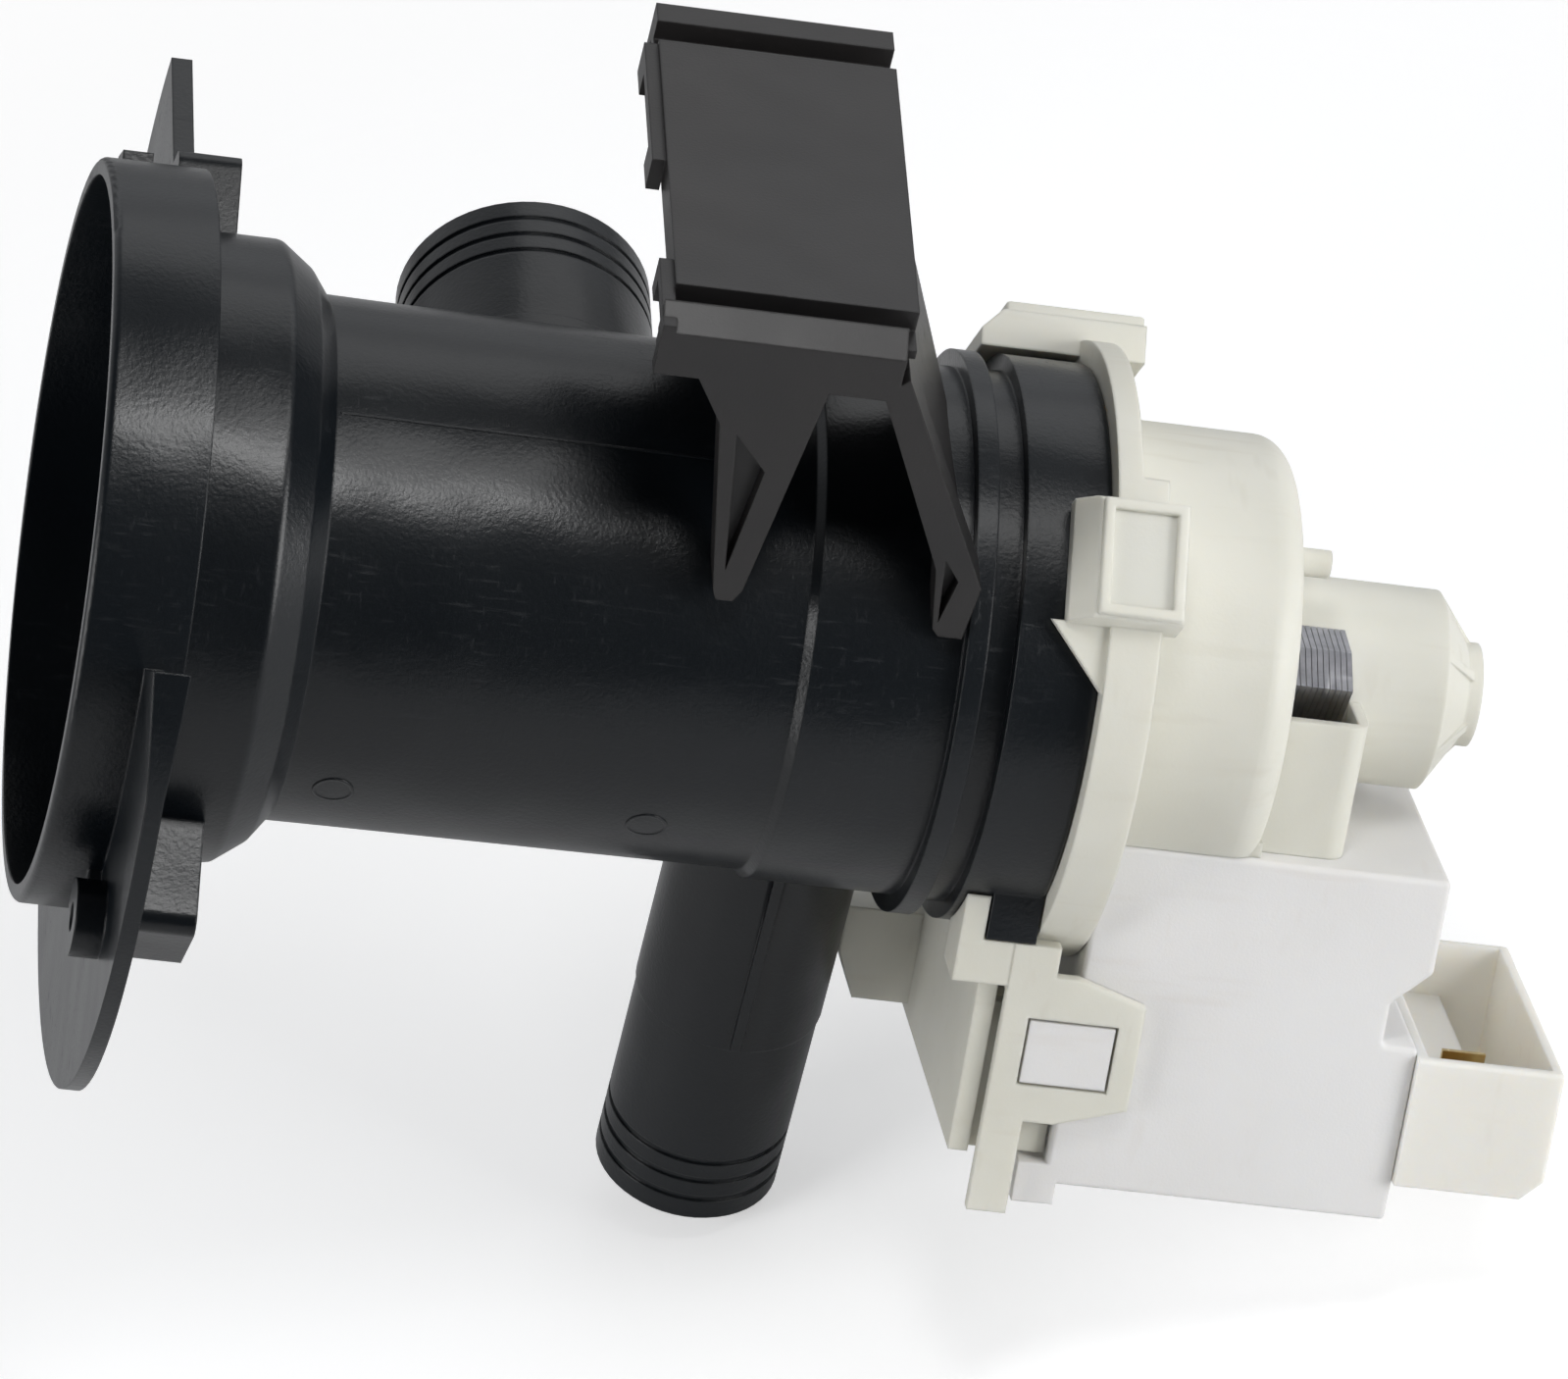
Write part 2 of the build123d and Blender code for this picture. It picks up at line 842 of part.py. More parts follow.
def cone_rib():
    """A gusset on the cone of the rotor can, from its shoulder to the end boss."""
    outline = (
        (can_end, 0),
        (boss_end - can_wall, 0),
        (boss_end - can_wall, boss_radius),
        (can_end, can_radius),
    )
    face = Plane.XY * make_face(Polyline(*outline, close=True))
    rib = extrude(face, amount=cone_rib_width / 2, both=True)
    return rib - rod(can_end - can_wall, boss_end, boss_radius - can_wall)


def core_pockets():
    """The bulge that encloses the core's arms behind the dome, and a locating pin."""
    end = dome_end + core_pocket_depth
    bulge = block(
        (dome_end - dome_round, end),
        (-core_pocket_half, core_pocket_half),
        (-dome_floor, core_pocket_top),
    )
    rear = bulge.edges().filter_by(Axis.Z).group_by(Axis.X)[-1]
    bulge = fillet(rear, core_pocket_round)
    inner = core_pocket_half - core_pocket_wall
    cavity = block(
        (dome_end, end - core_pocket_wall),
        (-inner, inner),
        (-dome_floor - bore_overrun, core_pocket_top + bore_overrun),
    )
    cavity -= rod(dome_end - dome_round, end, can_radius)
    pin = bar(locating_pin_radius, locating_pin_length + dome_wall)
    pin = Pos(dome_end - dome_wall, -locating_pin_offset, locating_pin_height) * pin
    return (bulge - cavity - rod(flange_end, end, can_radius - can_wall)) + pin


def hook():
    """The hook under the flange that grips the lug beside the outlet."""
    outer = -hook_drop - hook_thickness
    foot = (
        (hook_start, outer),
        (ring_end, outer),
        (ring_end, -hook_drop),
        (hook_start + hook_finger, -hook_drop),
        (hook_start + hook_finger, -hook_drop + hook_rise),
        (hook_start, -hook_drop + hook_rise),
    )
    foot_bar = slab_y(foot, -casing_half_width - loop_thickness, hook_width)
    return foot_bar - rod(hook_start, ring_end, ring_radius + lug_clearance)


def carrier():
    """The plate, strip and latch loop that carry the motor casing, in the motor's directions."""
    front = casing_half_width + part_clearance
    face = front + loop_thickness
    strip_start = ring_end - strip_setback
    plate_start = strip_start - carrier_recess - carrier_thickness
    ring_clear = math.hypot(ring_radius + lug_height, lug_width / 2) + lug_clearance
    foot = -carrier_depth + carrier_strip_extra
    body = block(
        (plate_start, plate_start + carrier_thickness),
        (-front, carrier_back),
        (foot, -dome_floor),
    )
    body += block(
        (plate_start, flange_end),
        (-front + carrier_step, -front + carrier_step * 2),
        (foot, -carrier_web_top),
    )
    body += block(
        (plate_start, ring_end + flange_band_width),
        (-carrier_web_half, carrier_web_half),
        (-carrier_web_top - hood_wall, -carrier_web_top),
    )
    wing = slab_y(
        (
            (plate_start, -wing_drop),
            (plate_start, -wing_drop - wing_height),
            (plate_start - wing_length + wing_slant, -wing_drop - wing_height),
            (plate_start - wing_length, -wing_drop - wing_height / 2),
            (plate_start - wing_length, -wing_drop),
        ),
        wing_offset,
        carrier_back - wing_offset,
    )
    body += wing - block(
        (plate_start - wing_length + hood_wall * 2, plate_start),
        (wing_offset + hood_wall, carrier_back + bore_overrun),
        (-wing_drop - wing_height + hood_wall, -wing_drop - hood_wall),
    )
    body -= [rod(plate_start - bore_overrun, ring_end, ring_clear), hook_lug(lug_clearance)]
    top = -dome_floor - loop_drop
    bottom = top - loop_height
    reach = strip_start + loop_reach
    bevel = strip_start + loop_reach / 2
    loop = (
        (strip_start, top),
        (bevel, top),
        (reach, top - loop_bevel),
        (reach, bottom + loop_bevel),
        (bevel, bottom),
        (strip_start + strip_width, bottom),
        (strip_start + strip_width, -carrier_depth),
        (strip_start, -carrier_depth),
    )
    tongue_x = casing_start - tongue_reach
    tongue_top = -dome_floor - tongue_drop
    window = block(
        (tongue_x - window_margin, tongue_x + tongue_length + window_margin),
        (-face - bore_overrun, -front + bore_overrun),
        (tongue_top - tongue_height - window_margin, tongue_top + window_margin),
    )
    arm = slab_y(loop, -face, loop_thickness) - window
    arm += block(
        (strip_start, ring_end + flange_band_width),
        (-face, -front + carrier_step * 2),
        (top - loop_bevel, -hook_drop),
    )
    arm -= rod(hook_start, ring_end, math.hypot(face, hook_drop))
    return body + arm


def make_volute_eye():
    """The ring at the end of the filter chamber, with the hole that feeds the impeller."""
    outer = tube_radius - housing_wall - tube_draft - part_clearance
    return rod(eye_start, eye_end, outer, eye_radius)


def make_head_seal():
    """The sealing ring in the spigot groove."""
    centre = volute_bore - seal_section / 2 - seal_clearance / 2
    station = ring_end - spigot_depth + seal_offset + seal_width / 2
    return Pos(station, 0, 0) * Rot(0, 90, 0) * Torus(centre, seal_section / 2)


def make_volute_plate():
    """The disc that closes the volute behind the impeller."""
    start = ring_end - spigot_depth
    radius = volute_bore - spigot_clearance - spigot_wall - part_clearance
    opening = hub_radius + bore_overrun
    disc = rod(start, start + plate_disc_thickness, radius, opening)
    return disc + rod(start - hub_cover_thickness / 2, start, opening + housing_wall, opening)


def make_bearing_holder():
    """The plug in the mouth of the rotor well that carries the front bush."""
    start = ring_end - spigot_depth + plate_disc_thickness
    well = can_radius - can_wall - part_clearance
    seat = bush_radius + bush_seat_clearance
    middle = start + holder_flange_thickness
    end = start + holder_length
    shoulder = end - bush_length
    return turned(
        (
            (start, dog_radius),
            (start, holder_flange_radius),
            (middle, holder_flange_radius),
            (middle, well),
            (end, well),
            (end, seat),
            (shoulder, seat),
            (shoulder, dog_radius),
        )
    )


def bush(start):
    """A plain bearing bush for the rotor shaft."""
    return rod(start, start + bush_length, bush_radius, shaft_radius + bush_clearance)


def front_bush_start():
    """The station of the front bush inside its holder."""
    return ring_end - spigot_depth + plate_disc_thickness + holder_length - bush_length


def rear_bush_start():
    """The station of the rear bush inside the end boss."""
    return can_end - can_wall


def core_outline():
    """The punched plate: two pole arms around the can, two legs and a yoke."""
    half = (
        (leg_outer, -core_bottom),
        (leg_outer, 0),
        (pole_vertex_width, pole_vertex_height),
        (pole_shoulder_width, pole_shoulder_height),
        (pole_gap_half, pole_tip_height),
    )
    points = list(half) + [(-y, z) for y, z in reversed(half)]
    sheet = make_face(Polyline(*points, close=True))
    bore = Circle(can_radius + core_bore_clearance)
    slot_height = core_bottom - yoke_height
    slot = Pos(0, -slot_height / 2) * Rectangle(leg_inner * 2, slot_height)
    gap = Pos(0, pole_tip_height / 2) * Rectangle(pole_gap_half * 2, pole_tip_height)
    holes = [
        Pos(side * (leg_inner + leg_outer) / 2, -core_bottom + yoke_height / 2)
        * Circle(rivet_radius + rivet_clearance)
        for side in (-1, 1)
    ]
    return sheet - bore - slot - gap - holes


def make_stator_core():
    """The stack of punched plates."""
    outline = core_outline()
    plates = []
    for index in range(plate_count):
        station = core_start + index * plate_pitch
        sheet = extrude(Plane.YZ.offset(station) * outline, amount=plate_pitch - plate_gap)
        plates.append(on_motor(sheet.solid()))
    return Compound(children=plates)


def make_core_rivets():
    """Two rivets that hold the plates together at the yoke."""
    rivets = []
    y = (leg_inner + leg_outer) / 2
    z = -core_bottom + yoke_height / 2
    for side in (-1, 1):
        pin = rod(core_start, core_start + core_length, rivet_radius)
        pin += rod(core_start - rivet_head_height, core_start, rivet_head_radius)
        pin += rod(core_start + core_length, core_start + core_length + rivet_head_height, rivet_head_radius)
        rivets.append(on_motor(Pos(0, side * y, z) * pin).solid())
    return Compound(children=rivets)


def bobbin_spans(side):
    """Spans of the bobbin's tube around one leg, before and after its wall."""
    inner = leg_inner - bobbin_clearance
    outer = leg_outer + bobbin_clearance
    x_inner = (core_start - bobbin_clearance, core_start + core_length + bobbin_clearance)
    y_inner = tuple(sorted((side * inner, side * outer)))
    x_outer = (x_inner[0] - bobbin_wall, x_inner[1] + bobbin_wall)
    y_outer = (y_inner[0] - bobbin_wall, y_inner[1] + bobbin_wall)
    return x_inner, y_inner, x_outer, y_outer


def grown(span, amount):
    """A span made longer at both ends."""
    return (span[0] - amount, span[1] + amount)


def make_bobbin(side):
    """A coil former: tube and two flanges around one leg of the core."""
    x_inner, y_inner, x_outer, y_outer = bobbin_spans(side)
    bottom = -core_bottom + yoke_height + bobbin_gap
    top = -bobbin_top
    tube = block(x_outer, y_outer, (bottom, top))
    for start in (bottom, top - bobbin_flange):
        tube += block(
            grown(x_outer, winding_build),
            grown(y_outer, winding_build),
            (start, start + bobbin_flange),
        )
    return on_motor(tube - block(x_inner, y_inner, (bottom - bore_overrun, top + bore_overrun)))


def make_winding(side):
    """The wound wire between the flanges of one bobbin."""
    _, _, x_outer, y_outer = bobbin_spans(side)
    bottom = -core_bottom + yoke_height + bobbin_gap + bobbin_flange + winding_clearance
    top = -bobbin_top - bobbin_flange - winding_clearance
    build = winding_build - winding_clearance * 2
    wire = block(grown(x_outer, build), grown(y_outer, build), (bottom, top))
    wire = fillet(wire.edges().filter_by(Axis.Z), winding_round)
    x_span = grown(x_outer, winding_clearance)
    y_span = grown(y_outer, winding_clearance)
    return on_motor(wire - block(x_span, y_span, (bottom, top)))


def make_thermal_fuse():
    """The fuse that lies between the two windings."""
    middle = core_start + core_length / 2
    depth = (core_bottom - yoke_height + bobbin_top) / 2
    fuse = Pos(middle, 0, -depth) * Cylinder(fuse_radius, fuse_length)
    return on_motor(fuse)


def casing_outline():
    """The casing seen from the front: a box with the notch beside the terminal housing."""
    top = -dome_floor
    bottom = top - casing_height
    notch_top = top - casing_height * notch_top_share
    notch_in = notch_top - casing_height * notch_slope_share
    notch_end = notch_in - casing_height * notch_height_share
    return (
        (casing_start, bottom),
        (casing_end, bottom),
        (casing_end, notch_end),
        (casing_end - notch_depth, notch_end),
        (casing_end - notch_depth, notch_in),
        (casing_end, notch_top),
        (casing_end, top),
        (casing_start, top),
    )


def make_coil_casing():
    """The white shell over the coils, open below, with slots for the legs."""
    top = -dome_floor
    bottom = top - casing_height
    shell = slab_y(casing_outline(), -casing_half_width, casing_half_width * 2)
    shell = fillet(shell.edges(), casing_round)
    cavity = block(
        (casing_start + casing_wall, casing_end - notch_depth - casing_wall),
        (-casing_half_width + casing_wall, casing_half_width - casing_wall),
        (bottom - bore_overrun, top - casing_wall),
    )
    shell = shell - cavity
    for side in (-1, 1):
        slot = sorted((side * (leg_inner - bobbin_clearance), side * (leg_outer + bobbin_clearance)))
        shell -= block(
            (core_start - bobbin_clearance, core_start + core_length + bobbin_clearance),
            slot,
            (top - casing_height / 2, top + bore_overrun),
        )
    tongue_x = casing_start - tongue_reach
    tongue_top = top - tongue_drop
    shell += block(
        (tongue_x, tongue_x + tongue_length),
        (-casing_half_width - tongue_proud, -casing_half_width + casing_wall),
        (tongue_top - tongue_height, tongue_top),
    )
    shell += block(
        (casing_start - casing_foot_length, casing_start + casing_wall),
        (-casing_half_width, -casing_half_width + casing_foot_width),
        (bottom - casing_foot_height, bottom + casing_foot_height),
    )
    return on_motor(shell)


def make_casing_base():
    """The plate that closes the casing from below."""
    bottom = -dome_floor - casing_height
    inset = casing_wall + part_clearance
    half = casing_half_width - inset
    return on_motor(
        block(
            (casing_start + inset, casing_end - notch_depth - inset),
            (-half, half),
            (bottom, bottom + base_thickness),
        )
    )


def make_terminal_housing():
    """The open box beside the casing that takes the plug."""
    outline = (
        (casing_end, -shroud_bottom),
        (casing_end + shroud_length - shroud_chamfer, -shroud_bottom),
        (casing_end + shroud_length, -shroud_bottom + shroud_chamfer),
        (casing_end + shroud_length, -shroud_top),
        (casing_end, -shroud_top),
    )
    shell = slab_y(outline, -shroud_front, shroud_front + shroud_back)
    reach = casing_end + shroud_length
    edges = shell.edges().filter_by_position(Axis.X, casing_end + shroud_wall, reach + bore_overrun)
    shell = fillet(edges, shroud_round)
    inner_x = (casing_end + shroud_wall, reach - shroud_wall)
    inner_y = (-shroud_front + shroud_wall, shroud_back - shroud_wall)
    inner_z = (-shroud_bottom + shroud_wall * 2, -shroud_top)
    shell -= block(inner_x, inner_y, (inner_z[0], inner_z[1] + bore_overrun))
    ledge = block(
        (inner_x[0], inner_x[0] + shroud_length * ledge_length_share),
        (inner_y[1] - (inner_y[1] - inner_y[0]) * ledge_width_share, inner_y[1]),
        (inner_z[0], inner_z[0] + (inner_z[1] - inner_z[0]) * ledge_height_share),
    )
    return on_motor(shell + ledge)


def make_terminals():
    """Two blade terminals that stand in the terminal housing."""
    blades = []
    x = casing_end + shroud_length / 2
    floor = -shroud_bottom + shroud_wall * 2
    for index in range(2):
        y = -blade_first + index * blade_pitch
        blade = block(
            (x - blade_width / 2, x + blade_width / 2),
            (y - blade_thickness / 2, y + blade_thickness / 2),
            (floor, floor + blade_height),
        )
        blades.append(on_motor(blade).solid())
    return Compound(children=blades)


def magnet_start():
    """The station where the magnet begins, centred on the stator core."""
    return core_start + core_length / 2 - magnet_length / 2


def make_rotor_shaft():
    """The steel shaft through rotor and impeller."""
    return rod(shaft_start, rear_bush_start() + bush_length + can_wall - shaft_end_gap, shaft_radius)


def make_rotor_magnet():
    """The two-pole ring magnet."""
    start = magnet_start()
    return rod(start, start + magnet_length, magnet_radius, magnet_bore)


def make_rotor_sleeve():
    """The thin steel sleeve over the magnet."""
    start = magnet_start()
    return rod(start, start + magnet_length, magnet_radius + sleeve_wall, magnet_radius)


def make_rotor_core():
    """The moulded carrier of the magnet, with an end disc at each side and a front neck."""
    start = magnet_start()
    end = start + magnet_length
    disc = magnet_radius + sleeve_wall
    neck_start = front_bush_start() + bush_length + washer_thickness + washer_clearance * 2
    return turned(
        (
            (neck_start, shaft_radius),
            (neck_start, magnet_bore),
            (start - rotor_disc_thickness, magnet_bore),
            (start - rotor_disc_thickness, disc),
            (start, disc),
            (start, magnet_bore),
            (end, magnet_bore),
            (end, disc),
            (end + rotor_disc_thickness, disc),
            (end + rotor_disc_thickness, shaft_radius),
        )
    )


def make_thrust_washer():
    """The washer between the front bush and the rotor neck."""
    start = front_bush_start() + bush_length + washer_clearance
    return rod(start, start + washer_thickness, washer_radius, shaft_radius + bush_clearance)


def dog_station():
    """The station where the dog on the shaft begins."""
    return impeller_start + hub_front_length + dog_clearance


def make_drive_dog():
    """The dog on the shaft that takes the impeller round after its free travel."""
    start = dog_station()
    end = start + dog_length
    first = stop_lug_angle / 2 + dog_play_start
    lug = sector(start, end, shaft_radius, chamber_radius - dog_clearance, first, first + dog_lug_angle)
    return rod(start, end, dog_radius, shaft_radius) + lug


def vane():
    """One swept vane of the impeller, drawn as an outline of rising angle with the radius."""
    outer_side = []
    inner_side = []
    for index in range(vane_steps + 1):
        share = index / vane_steps
        radius = vane_root_radius + (impeller_radius - vane_root_radius) * share
        angle = math.radians(-vane_sweep * share**vane_curl)
        half = vane_thickness / radius / 2
        outer_side.append((radius * math.cos(angle + half), radius * math.sin(angle + half)))
        inner_side.append((radius * math.cos(angle - half), radius * math.sin(angle - half)))
    return slab_x(outer_side + inner_side[::-1], impeller_start, impeller_length)


def make_impeller():
    """The impeller: swept vanes on a disc, and a hub with the stop of the lost motion."""
    disc_start = impeller_start + impeller_length - impeller_disc
    hub_end = impeller_start + impeller_length + hub_tail
    wheel = rod(impeller_start, hub_end, hub_radius)
    wheel += rod(disc_start, disc_start + impeller_disc, impeller_radius)
    for index in range(blade_count):
        wheel += Rot(360 / blade_count * index, 0, 0) * vane()
    chamber_start = impeller_start + hub_front_length
    wheel -= rod(chamber_start, hub_end + bore_overrun, chamber_radius)
    wheel -= rod(impeller_start - bore_overrun, chamber_start + bore_overrun, shaft_radius + bush_clearance)
    stop = sector(
        chamber_start - hub_cover_thickness,
        chamber_start + dog_length,
        dog_radius + dog_clearance,
        chamber_radius + dog_clearance,
        -stop_lug_angle / 2,
        stop_lug_angle / 2,
    )
    return wheel + stop


def make_hub_cover():
    """The ring that closes the impeller's hub from behind."""
    hub_end = impeller_start + impeller_length + hub_tail
    return rod(hub_end - hub_cover_thickness, hub_end, chamber_radius, shaft_radius + dog_clearance)


PARTS = {
    "filter_housing": make_filter_housing,
    "support_bracket": make_support_bracket,
    "pump_head": make_pump_head,
    "volute_eye": make_volute_eye,
    "head_seal": make_head_seal,
    "volute_plate": make_volute_plate,
    "bearing_holder": make_bearing_holder,
    "front_bush": lambda: bush(front_bush_start()),
    "rear_bush": lambda: bush(rear_bush_start()),
    "stator_core": make_stator_core,
    "core_rivets": make_core_rivets,
    "bobbin_near": lambda: make_bobbin(-1),
    "bobbin_far": lambda: make_bobbin(1),
    "winding_near": lambda: make_winding(-1),
    "winding_far": lambda: make_winding(1),
    "thermal_fuse": make_thermal_fuse,
    "coil_casing": make_coil_casing,
    "casing_base": make_casing_base,
    "terminal_housing": make_terminal_housing,
    "terminals": make_terminals,
    "rotor_shaft": make_rotor_shaft,
    "rotor_magnet": make_rotor_magnet,
    "rotor_sleeve": make_rotor_sleeve,
    "rotor_core": make_rotor_core,
    "thrust_washer": make_thrust_washer,
    "drive_dog": make_drive_dog,
    "impeller": make_impeller,
    "hub_cover": make_hub_cover,
}

os.makedirs("parts", exist_ok=True)
for name, maker in PARTS.items():
    export_step(maker(), f"parts/{name}.step")
    print("wrote", name)
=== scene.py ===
import bpy
import math
from mathutils import Matrix, Vector


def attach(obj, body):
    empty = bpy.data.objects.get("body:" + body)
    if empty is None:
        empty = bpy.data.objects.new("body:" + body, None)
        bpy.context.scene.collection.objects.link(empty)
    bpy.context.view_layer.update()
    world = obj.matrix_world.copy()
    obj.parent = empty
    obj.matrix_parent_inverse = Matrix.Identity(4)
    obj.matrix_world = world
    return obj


# Washer drain pump: the CAD parts get their finishes, and the fine mould marks are added on them.
# Sizes in the dictionaries are millimetres, angles are degrees from +Y towards +Z about the pump's axis.

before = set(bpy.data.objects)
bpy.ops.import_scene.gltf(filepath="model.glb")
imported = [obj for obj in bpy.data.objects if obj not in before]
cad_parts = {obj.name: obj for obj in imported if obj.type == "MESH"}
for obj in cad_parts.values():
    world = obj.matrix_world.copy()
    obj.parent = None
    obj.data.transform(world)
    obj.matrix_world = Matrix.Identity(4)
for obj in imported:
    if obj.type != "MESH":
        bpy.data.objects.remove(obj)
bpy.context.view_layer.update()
print("stage: frame loaded,", len(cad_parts), "nodes")

mm = 0.001


# camera, floor and light
view = {
    "right": (0.9798, -0.0514, 0.1934),
    "up": (-0.1136, 0.6526, 0.7491),
    "towards": (-0.1647, -0.7559, 0.6336),
    "place": (100.7156, -22.259, 1564.13),
    "lens": 259.2,
    "sensor": 36,
    "clip": (0.01, 100),
}


def fromView(right, up, towards):
    # a direction or a place given along the picture's own axes
    axes = [Vector(view[name]) for name in ("right", "up", "towards")]
    return axes[0] * right + axes[1] * up + axes[2] * towards


def buildCamera():
    lens = bpy.data.cameras.new("camera")
    lens.sensor_width = view["sensor"]
    lens.lens = view["lens"]
    lens.clip_start, lens.clip_end = view["clip"]
    camera = bpy.data.objects.new("camera", lens)
    bpy.context.scene.collection.objects.link(camera)
    turn = Matrix([view["right"], view["up"], view["towards"]]).transposed().to_4x4()
    camera.matrix_world = Matrix.Translation(fromView(*view["place"]) * mm) @ turn
    bpy.context.scene.camera = camera


buildCamera()

floorPlan = {
    "through": (122.15, 0, -104.5),
    "lean": 20,
    "size": 6000,
    "colour": (0.86, 0.86, 0.865),
    "glow": 0.43,
    "fade": (190, 430),
}


def buildFloor():
    lean = math.radians(floorPlan["lean"])
    bpy.ops.mesh.primitive_plane_add(size=floorPlan["size"] * mm)
    floor = bpy.context.object
    floor.name = "floor"
    floor.matrix_world = Matrix.Translation(Vector(floorPlan["through"]) * mm) @ Matrix.Rotation(-lean, 4, "Y")
    material = bpy.data.materials.new("floorPaper")
    material.use_nodes = True
    nodes, links = material.node_tree.nodes, material.node_tree.links
    nodes.clear()
    output = nodes.new("ShaderNodeOutputMaterial")
    add = nodes.new("ShaderNodeAddShader")
    matt = nodes.new("ShaderNodeBsdfDiffuse")
    matt.inputs["Color"].default_value = (*floorPlan["colour"], 1)
    glow = nodes.new("ShaderNodeEmission")
    ray = nodes.new("ShaderNodeLightPath")
    amount = nodes.new("ShaderNodeMath")
    amount.operation = "MULTIPLY"
    amount.inputs[1].default_value = floorPlan["glow"]
    links.new(ray.outputs["Is Camera Ray"], amount.inputs[0])
    links.new(amount.outputs[0], glow.inputs["Strength"])
    links.new(matt.outputs[0], add.inputs[0])
    links.new(glow.outputs[0], add.inputs[1])
    # the paper thins out to the white room around it, and hides nothing from below
    place = nodes.new("ShaderNodeTexCoord")
    distance = nodes.new("ShaderNodeVectorMath")
    distance.operation = "LENGTH"
    fade = nodes.new("ShaderNodeMapRange")
    fade.interpolation_type = "SMOOTHSTEP"
    fade.inputs["From Min"].default_value, fade.inputs["From Max"].default_value = [
        reach * mm for reach in floorPlan["fade"]
    ]
    side = nodes.new("ShaderNodeNewGeometry")
    gone = nodes.new("ShaderNodeMath")
    gone.operation = "MAXIMUM"
    seen = nodes.new("ShaderNodeMath")
    seen.operation = "MULTIPLY"
    clear = nodes.new("ShaderNodeBsdfTransparent")
    thin = nodes.new("ShaderNodeMixShader")
    links.new(place.outputs["Object"], distance.inputs[0])
    links.new(distance.outputs["Value"], fade.inputs["Value"])
    links.new(fade.outputs["Result"], gone.inputs[0])
    links.new(side.outputs["Backfacing"], gone.inputs[1])
    links.new(gone.outputs[0], seen.inputs[0])
    links.new(ray.outputs["Is Camera Ray"], seen.inputs[1])
    links.new(seen.outputs[0], thin.inputs["Fac"])
    links.new(add.outputs[0], thin.inputs[1])
    links.new(clear.outputs[0], thin.inputs[2])
    links.new(thin.outputs[0], output.inputs["Surface"])
    floor.data.materials.append(material)


buildFloor()

lamps = {
    "overhead": {"place": (205, 400, 360), "size": (200, 260), "watts": 0.52},
    "spot": {"place": (50, 223, 345), "size": (80, 80), "watts": 0.3},
    "behind": {"place": (250, 1000, -150), "size": (700, 500), "watts": 0.8},
    "left": {"place": (-900, -150, 480), "size": (500, 700), "watts": 5.6},
    "right": {"place": (900, -50, 540), "size": (600, 700), "watts": 7.8},
}
lampAim = (100, 0, -20)


def buildLamps():
    for name, plan in lamps.items():
        data = bpy.data.lights.new(name, "AREA")
        data.shape = "RECTANGLE"
        data.size = plan["size"][0] * mm
        data.size_y = plan["size"][1] * mm
        data.energy = plan["watts"]
        lamp = bpy.data.objects.new(name, data)
        bpy.context.scene.collection.objects.link(lamp)
        aim = Vector(lampAim) * mm
        lamp.location = aim + fromView(*plan["place"]) * mm
        lamp.rotation_mode = "QUATERNION"
        lamp.rotation_quaternion = (aim - lamp.location).to_track_quat("-Z", "Y")


room = {
    "tint": (0.95, 0.97, 1, 1),
    "fade": {"From Min": -0.35, "From Max": 0.6, "To Min": 0.6, "To Max": 0.08},
}


def buildSky():
    world = bpy.data.worlds.new("studio")
    bpy.context.scene.world = world
    world.use_nodes = True
    nodes, links = world.node_tree.nodes, world.node_tree.links
    nodes.clear()
    output = nodes.new("ShaderNodeOutputWorld")
    white = nodes.new("ShaderNodeBackground")
    soft = nodes.new("ShaderNodeBackground")
    mix = nodes.new("ShaderNodeMixShader")
    ray = nodes.new("ShaderNodeLightPath")
    white.inputs["Strength"].default_value = 1
    white.inputs["Color"].default_value = (1, 1, 1, 1)
    soft.inputs["Color"].default_value = room["tint"]
    # the room is dark on the side of the camera and white behind the pump
    heading = nodes.new("ShaderNodeTexCoord")
    facing = nodes.new("ShaderNodeVectorMath")
    facing.operation = "DOT_PRODUCT"
    facing.inputs[1].default_value = view["towards"]
    fade = nodes.new("ShaderNodeMapRange")
    fade.interpolation_type = "SMOOTHSTEP"
    for label, value in room["fade"].items():
        fade.inputs[label].default_value = value
    links.new(heading.outputs["Generated"], facing.inputs[0])
    links.new(facing.outputs["Value"], fade.inputs["Value"])
    links.new(fade.outputs["Result"], soft.inputs["Strength"])
    links.new(ray.outputs["Is Camera Ray"], mix.inputs["Fac"])
    links.new(soft.outputs[0], mix.inputs[1])
    links.new(white.outputs[0], mix.inputs[2])
    links.new(mix.outputs[0], output.inputs["Surface"])


buildLamps()
buildSky()
bpy.context.scene.view_settings.view_transform = "Standard"
print("stage: camera, floor and light")


# node groups that several finishes share
def newGroup(name, takes, gives):
    group = bpy.data.node_groups.new(name, "ShaderNodeTree")
    for label, kind, value in takes:
        socket = group.interface.new_socket(label, in_out="INPUT", socket_type=kind)
        socket.default_value = value
    for label, kind in gives:
        group.interface.new_socket(label, in_out="OUTPUT", socket_type=kind)
    return group, group.nodes.new("NodeGroupInput"), group.nodes.new("NodeGroupOutput")


